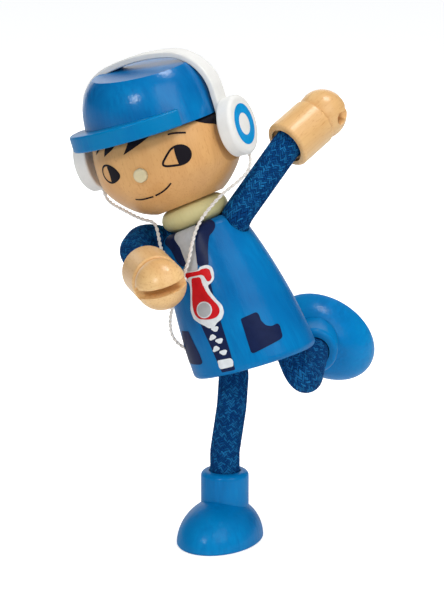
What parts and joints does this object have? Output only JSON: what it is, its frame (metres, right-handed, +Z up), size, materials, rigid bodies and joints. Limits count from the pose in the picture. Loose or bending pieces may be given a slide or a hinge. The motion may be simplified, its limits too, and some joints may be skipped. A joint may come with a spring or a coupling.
{
  "type": "bendable wooden doll",
  "caption": "Small turned-wood child doll with bendable rope limbs on wire, clip hands, egg-shaped boots, a peaked cap and headphones, posed running on one foot.",
  "frame": {"origin": "centre of the sole of the standing boot, the doll's right", "axes": "+Z up, the camera looks along +Y, and the doll faces -Y turned 25 degrees to the camera's left"},
  "size_m": [0.0621, 0.0474, 0.1001],
  "materials": {
    "jacket_paint": "glossy blue paint with a printed zip jacket",
    "blue_paint": "glossy blue paint",
    "white_paint": "satin white paint",
    "band_plastic": "white flexible strip",
    "face_wood": "satin varnish with a printed face",
    "hand_wood": "satin varnish",
    "nose_wood": "satin varnish",
    "collar_wood": "pale stain",
    "plain_wood": "bare",
    "rope": "braided cotton sleeve",
    "wire": "soft bending wire",
    "lead_string": "twisted white string"
  },
  "bodies": {
    "body": {"torso": "jacket_paint", "collar": "collar_wood", "neck_dowel": "plain_wood", "left_lead": "lead_string", "right_lead": "lead_string", "lead_knot": "lead_string"},
    "head": {"head": "face_wood", "nose_peg": "nose_wood", "cap_crown": "blue_paint", "cap_visor": "blue_paint", "cap_dowel": "plain_wood", "headband": "band_plastic", "left_earcup": "white_paint", "right_earcup": "white_paint", "left_ear_peg": "plain_wood", "right_ear_peg": "plain_wood"},
    "left_upper_arm": {"left_upper_arm_rope": "rope", "left_upper_arm_wire": "wire"},
    "left_forearm": {"left_forearm_rope": "rope", "left_forearm_wire": "wire", "left_hand": "hand_wood"},
    "right_upper_arm": {"right_upper_arm_rope": "rope", "right_upper_arm_wire": "wire"},
    "right_forearm": {"right_forearm_rope": "rope", "right_forearm_wire": "wire", "right_hand": "hand_wood"},
    "left_thigh": {"left_thigh_rope": "rope", "left_thigh_wire": "wire"},
    "left_lower_leg": {"left_shin_rope": "rope", "left_shin_wire": "wire", "left_boot_cuff": "blue_paint", "left_shoe": "blue_paint"},
    "right_thigh": {"right_thigh_rope": "rope", "right_thigh_wire": "wire"},
    "right_lower_leg": {"right_shin_rope": "rope", "right_shin_wire": "wire", "right_boot_cuff": "blue_paint", "right_shoe": "blue_paint"}
  },
  "joints": [
    {"name": "head_turn", "type": "hinge", "parent": "body", "child": "head", "pos_m": [-0.0059, 0.00275, 0.06969], "axis": [-0.378, 0.156, 0.9126], "range_deg": [-35, 35], "deforming": ["left_lead", "right_lead", "lead_knot"]},
    {"name": "left_shoulder_bend", "type": "hinge", "parent": "body", "child": "left_upper_arm", "pos_m": [0.00336, -0.00144, 0.06755], "axis": [0.4157, 0.9093, 0.0168], "range_deg": [-3, 75], "deforming": ["left_upper_arm_rope", "left_upper_arm_wire"]},
    {"name": "left_elbow_bend", "type": "hinge", "parent": "left_upper_arm", "child": "left_forearm", "pos_m": [0.00833, 0.00065, 0.0745], "axis": [0.8048, -0.3593, -0.4724], "range_deg": [-30, 25], "deforming": ["left_upper_arm_rope", "left_upper_arm_wire", "left_forearm_rope", "left_forearm_wire"]},
    {"name": "right_shoulder_bend", "type": "hinge", "parent": "body", "child": "right_upper_arm", "pos_m": [-0.01501, 0.00706, 0.06208], "axis": [0.378, -0.156, -0.9126], "range_deg": [-5, 60], "deforming": ["right_upper_arm_rope", "right_upper_arm_wire"]},
    {"name": "right_elbow_bend", "type": "hinge", "parent": "right_upper_arm", "child": "right_forearm", "pos_m": [-0.01693, -0.00067, 0.0604], "axis": [0.1625, -0.2481, 0.955], "range_deg": [-60, 5], "deforming": ["right_upper_arm_rope", "right_upper_arm_wire", "right_forearm_rope", "right_forearm_wire"]},
    {"name": "left_hip_bend", "type": "hinge", "parent": "body", "child": "left_thigh", "pos_m": [0.01409, -0.00321, 0.04024], "axis": [-0.8272, 0.3857, -0.4086], "range_deg": [-15, 60], "deforming": ["left_thigh_rope", "left_thigh_wire"]},
    {"name": "left_knee_bend", "type": "hinge", "parent": "left_thigh", "child": "left_lower_leg", "pos_m": [0.01666, -0.00275, 0.03501], "axis": [0.8272, -0.3857, 0.4086], "range_deg": [-105, 5], "deforming": ["left_thigh_rope", "left_thigh_wire", "left_shin_rope", "left_shin_wire"]},
    {"name": "right_hip_bend", "type": "hinge", "parent": "body", "child": "right_thigh", "pos_m": [0.00235, 0.00224, 0.03588], "axis": [-0.8272, 0.3857, -0.4086], "range_deg": [-50, 60], "deforming": ["right_thigh_rope", "right_thigh_wire"]},
    {"name": "right_knee_bend", "type": "hinge", "parent": "right_thigh", "child": "right_lower_leg", "pos_m": [0.00232, 0.0022, 0.0276], "axis": [0.8272, -0.3857, 0.4086], "range_deg": [-5, 90], "deforming": ["right_thigh_rope", "right_thigh_wire", "right_shin_rope", "right_shin_wire"]}
  ]
}
